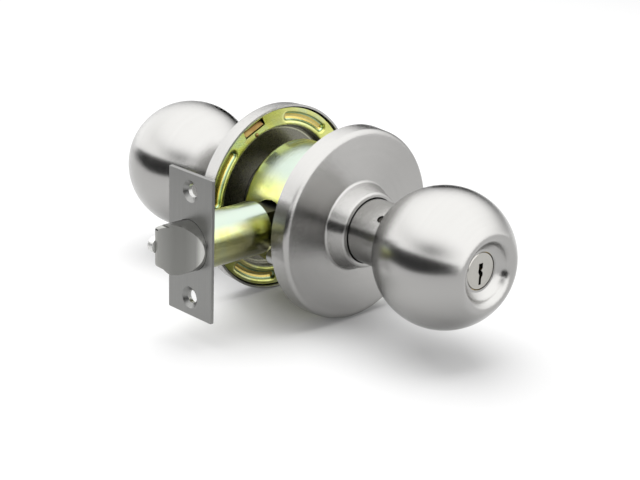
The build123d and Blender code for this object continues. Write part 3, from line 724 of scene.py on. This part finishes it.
# %% [markdown]
# ## The two knobs
# A ball knob is drawn from a sheet cup that is closed in round the neck. The keyed one has a dish at its pole, with
# a soft rim, and the plug stands in its floor. A round arc gives the ball, and three more corners give the dish;
# its slope is bowed a little, so that it catches the light as a hollow does.

# %% The section of a ball
ball_radius, ball_wall = 27.44, 1.0
neck_hole = 13.05


def ball_arc(centre, side, first, last, count=64):
    """Points of a ball's section between two angles, counted from its pole away from the door."""
    arc = []
    for number in range(count + 1):
        angle = math.radians(first + (last - first) * number / count)
        arc.append((ball_radius * math.sin(angle), centre + side * ball_radius * math.cos(angle), 0))
    return arc


neck_angle = 180 - math.degrees(math.asin(neck_hole / ball_radius))
print("a ball's arc ends", round(neck_angle, 1), "degrees from its pole")

# %% The keyed knob
outside_ball, dish_floor = -69.85, -87.99
dish_radius, dish_floor_radius, dish_bow = 13.0, 8.3, 1.0
dish_rim_round, dish_floor_round, plug_hole = 3.4, 0.5, 7.45
rim_angle = math.degrees(math.asin(dish_radius / ball_radius))
arc_stops_before = 10           # degrees, to leave room for the rounding of the rim

rim = Vector((dish_radius, outside_ball - math.cos(math.radians(rim_angle)) * ball_radius))
floor_point = Vector((dish_floor_radius, dish_floor))
run = (floor_point - rim).normalized()
bow = [rim.lerp(floor_point, share) + Vector((run.y, -run.x)) * dish_bow * 4 * share * (1 - share)
       for share in (0.6, 0.7, 0.8, 0.9)]
corners = ball_arc(outside_ball, -1, neck_angle, rim_angle + arc_stops_before)
corners += [(rim.x, rim.y, dish_rim_round)] + [(point.x, point.y, 0) for point in bow]
corners += [(floor_point.x, floor_point.y, dish_floor_round), (plug_hole, floor_point.y, 0)]
outside_knob = turned("keyed_ball", corners)
thicken(outside_knob, ball_wall)
dress(outside_knob, satin, "outside_knob", "outside_knob")

# %% The plain knob, with a hole for its button
inside_ball, button_hole = 79.38, 4.6
button_angle = math.degrees(math.asin(button_hole / ball_radius))
inside_knob = turned("plain_ball", ball_arc(inside_ball, 1, neck_angle, button_angle))
thicken(inside_knob, ball_wall)
dress(inside_knob, satin, "inside_knob", "inside_knob")

# %% [markdown]
# ## The two roses
# A rose is a shallow cup with a collar drawn up round its hole, and hides the hole in the door. All its bends are
# soft, because sheet can't be folded sharp. The two roses have one drawing; only the side they face and the place
# of their rim differ, so a loop makes both.

# %% The two roses
sides = ((-1, 15.9, "outside"), (1, 21.1, "inside"))     # which way along Y, and where the rose's rim is
rose_wall, rose_edge_round, collar_round = 0.9, 2.2, 1.2
face_height, foot_height, lip_height = 8.0, 7.6, 15.1
for side, rim_place, name in sides:
    face, foot, lip = (side * (rim_place + height) for height in (face_height, foot_height, lip_height))
    corners = [
        (39.1, side * rim_place, 0), (38.6, face, rose_edge_round), (17.7, foot, collar_round),
        (15.0, lip, collar_round), (13.45, lip, 0)]
    rose = turned(name + "_sheet_rose", corners, 256)
    thicken(rose, rose_wall)
    dress(rose, rose_steel, name + "_rose", "lock_case")

# %% [markdown]
# ## The liners
# A liner stiffens its rose from behind. Its flat flange has four curved ribs pressed into it, two round holes for
# the posts, and a slot with a tab that is folded back. A rib could be a separate bead laid on the flange.
# Pushing the sheet's own vertices with soft falloff is nearer to what the press does, and gives the rib its
# run-out. The holes and the slot are then cut, and the middle is stepped down; its dark colour is painted shade,
# with a painted highlight line in it.

# %% A tab for a liner's slot, and its dimple
slot_angle = 115.0
tab_width, tab_length, tab_wall, tab_round = 3.6, 10, 0.8, 0.25
tab_radius, tab_height, tab_outwards, tab_upright = 34.6, 1.9, 0.75, 0.66
dimple_radius, dimple_place, dimple_height = 1.0, 31.6, 0.25


def add_tab(name, side, flange):
    """Fold a tab back from the slot's inner edge, and raise the dimple beside it."""
    turn = math.radians(slot_angle)
    outwards = Vector((math.cos(turn), 0, math.sin(turn)))
    along = Vector((-math.sin(turn), 0, math.cos(turn)))
    bpy.ops.object.select_all(action="DESELECT")
    bpy.ops.mesh.primitive_plane_add(size=1)
    tab = bpy.context.object
    tab.name = name + "_liner_tab"
    bpy.ops.object.mode_set(mode="EDIT")
    bpy.ops.mesh.select_all(action="SELECT")
    bpy.ops.transform.resize(value=(tab_width * MM, tab_length * MM, 1))
    bpy.ops.mesh.extrude_region_move(TRANSFORM_OT_translate={"value": (0, 0, tab_wall * MM)})
    bpy.ops.mesh.select_all(action="SELECT")
    bpy.ops.mesh.normals_make_consistent(inside=False)
    bpy.ops.mesh.bevel(offset=tab_round * MM, segments=2)
    bpy.ops.object.mode_set(mode="OBJECT")
    lean = (outwards * tab_outwards + Vector((0, side, 0)) * tab_upright).normalized()
    turned_to = Matrix((lean, along, lean.cross(along))).transposed().to_4x4()
    middle = outwards * tab_radius + Vector((0, side * (flange + tab_height), 0))
    tab.matrix_world = Matrix.Translation(middle * MM) @ turned_to
    bpy.ops.object.transform_apply(location=True, rotation=True, scale=True)
    bpy.ops.object.select_all(action="DESELECT")
    middle = outwards * dimple_place + Vector((0, side * (flange + dimple_height), 0))
    bpy.ops.mesh.primitive_uv_sphere_add(
        segments=24, ring_count=12, radius=dimple_radius * MM, location=middle * MM)
    tab.select_set(True)
    bpy.context.view_layer.objects.active = tab
    bpy.ops.object.join()
    bpy.ops.object.shade_smooth_by_angle(angle=smooth_angle)
    tab.data.materials.append(tab_film)
    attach(tab, "lock_case")


# %% The ribs
rib_count, first_rib = 4, 67.0
rib_middle, rib_half_width, rib_half_span, rib_reach, rib_push = 33.9, 0.3, 19.0, 2.2, 1.5


def press_ribs(liner, side):
    """Press the ribs into a flange, one at a time."""
    for number in range(rib_count):
        middle = first_rib + 360 / rib_count * number

        def on_the_rib(point):
            turn = (degrees_round(point) - middle + 180) % 360 - 180
            return abs(math.hypot(point.x, point.z) - rib_middle) < rib_half_width and abs(turn) < rib_half_span
        count = press(liner, on_the_rib, (0, side * rib_push, 0), rib_reach)
        print(liner.name, "rib", number + 1, "pressed at", count, "vertices")


# %% The holes and the slot
post_ring, post_hole, post_angles, post_cut = 33.0045, 2.4, (197.0, 17.0), 6
slot_radius, slot_width, slot_length, slot_cut = 35.0, 3.6, 11, 4


def on_the_flange(radius, angle, height):
    """A place in metres, from a radius, an angle in degrees and a place along the knob axis."""
    turn = math.radians(angle)
    return (radius * MM * math.cos(turn), height * MM, radius * MM * math.sin(turn))


def cut_openings(liner, height):
    """Cut the two post holes and the slot through a flange."""
    for angle in post_angles:
        bpy.ops.object.select_all(action="DESELECT")
        bpy.ops.mesh.primitive_cylinder_add(
            vertices=48, radius=post_hole * MM, depth=post_cut * MM, rotation=(math.radians(90), 0, 0),
            location=on_the_flange(post_ring, angle, height))
        cut(liner, bpy.context.object)
    bpy.ops.object.select_all(action="DESELECT")
    bpy.ops.mesh.primitive_cube_add(size=1, location=on_the_flange(slot_radius, slot_angle, height))
    cutter = bpy.context.object
    cutter.scale = (slot_width * MM, slot_cut * MM, slot_length * MM)
    cutter.rotation_euler = (0, -math.radians(slot_angle), 0)
    cut(liner, cutter)


# %% The two liners
liner_radius, liner_step_radius, liner_hole, liner_wall, liner_round = 37.5, 30.0, 16.0, 1.0, 1.2
flange_height, floor_height = 1.2, 5.3
for (side, rim_place, name), film in zip(sides, (outside_liner_zinc, inside_liner_zinc)):
    flange, floor_place = rim_place + flange_height, rim_place + floor_height
    corners = rows((liner_radius, side * flange), (liner_step_radius + 1.3, side * flange), 16)
    corners += [
        (liner_step_radius, side * flange, liner_round), (liner_step_radius - 0.4, side * floor_place, liner_round),
        (liner_hole, side * floor_place, 0)]
    liner = turned(name + "_pressed_liner", corners, 288)
    press_ribs(liner, side)
    thicken(liner, liner_wall, 1)
    cut_openings(liner, side * flange)
    add_tab(name, side, flange)
    dress(liner, film, name + "_liner", "lock_case")

# %% [markdown]
# ## The drum
# The drum is a drawn cup that holds the works. Its upper side has a shallow dent near one end, which shows as a
# wave in the highlight, and a round window on the latch side lets the latch in. The dent is pressed into the sheet
# before it gets its thickness, so that the inside follows it.

# %% The drum
drum_radius, drum_half, drum_wall, drum_round, drum_hole = 26.4, 16.0, 1.2, 2.4, 15.8
dent_place, dent_from, dent_to, dent_depth, dent_reach = 11.5, 66, 100, 0.45, 3.2
window_radius, window_cut, window_place = 9.3, 20, -26


def in_the_dent(point):
    """On the drum's wall, along a short line near its inner end."""
    on_the_wall = math.hypot(point.x, point.z) > 26
    return on_the_wall and abs(point.y - dent_place) < 0.6 and dent_from < degrees_round(point) < dent_to


corners = rows((drum_radius, -drum_half), (drum_radius, drum_half - 2.5), 30)
corners += [(drum_radius, drum_half, drum_round), (drum_hole, drum_half, 0)]
drum = turned("drawn_drum", corners, 256)
print("dent pressed at", press(drum, in_the_dent, (0, 0, -dent_depth), dent_reach), "vertices")
thicken(drum, drum_wall)
bpy.ops.object.select_all(action="DESELECT")
bpy.ops.mesh.primitive_cylinder_add(
    vertices=96, radius=window_radius * MM, depth=window_cut * MM, rotation=(0, math.radians(90), 0),
    location=(window_place * MM, 0, 0))
cut(drum, bpy.context.object)
dress(drum, yellow_zinc, "chassis_drum", "lock_case")

# %% [markdown]
# ## The springs
# A spring stands between a fixed seat and a part that moves, so it gets shorter as that part comes towards it.
# Each one is a copy of the CAD coil, which is not pressed together as the joint moves. The coil's
# shape is right already, so a new one would gain nothing; the copy's loose triangles are merged first.

# %% Copies of the springs
springs = [
    # node, body, joint, its travel, the spring's direction, the fixed end; lengths in mm
    ("latch_spring", "lock_case", "latch_bolt_slide", 11.6, (1, 0, 0), -43.5),
    ("plunger_spring", "lock_case", "deadlatch_plunger_press", 11.5, (1, 0, 0), -43.5),
    ("retractor_springs", "lock_case", "retractor_slide", 11.6, (1, 0, 0), 20.3),
    ("button_spring", "inside_knob", "push_button_press", 3.5, (0, 1, 0), 42.0),
]
for name, body, joint, travel, direction, fixed_end in springs:
    coil = bpy.data.objects.new(name + "_coil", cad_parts[name].data.copy())
    bpy.context.scene.collection.objects.link(coil)
    alone(coil)
    bpy.ops.object.mode_set(mode="EDIT")
    bpy.ops.mesh.select_all(action="SELECT")
    bpy.ops.mesh.remove_doubles(threshold=merge_distance)
    bpy.ops.object.mode_set(mode="OBJECT")
    dress(coil, spring_wire, name, body)
    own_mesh(coil)
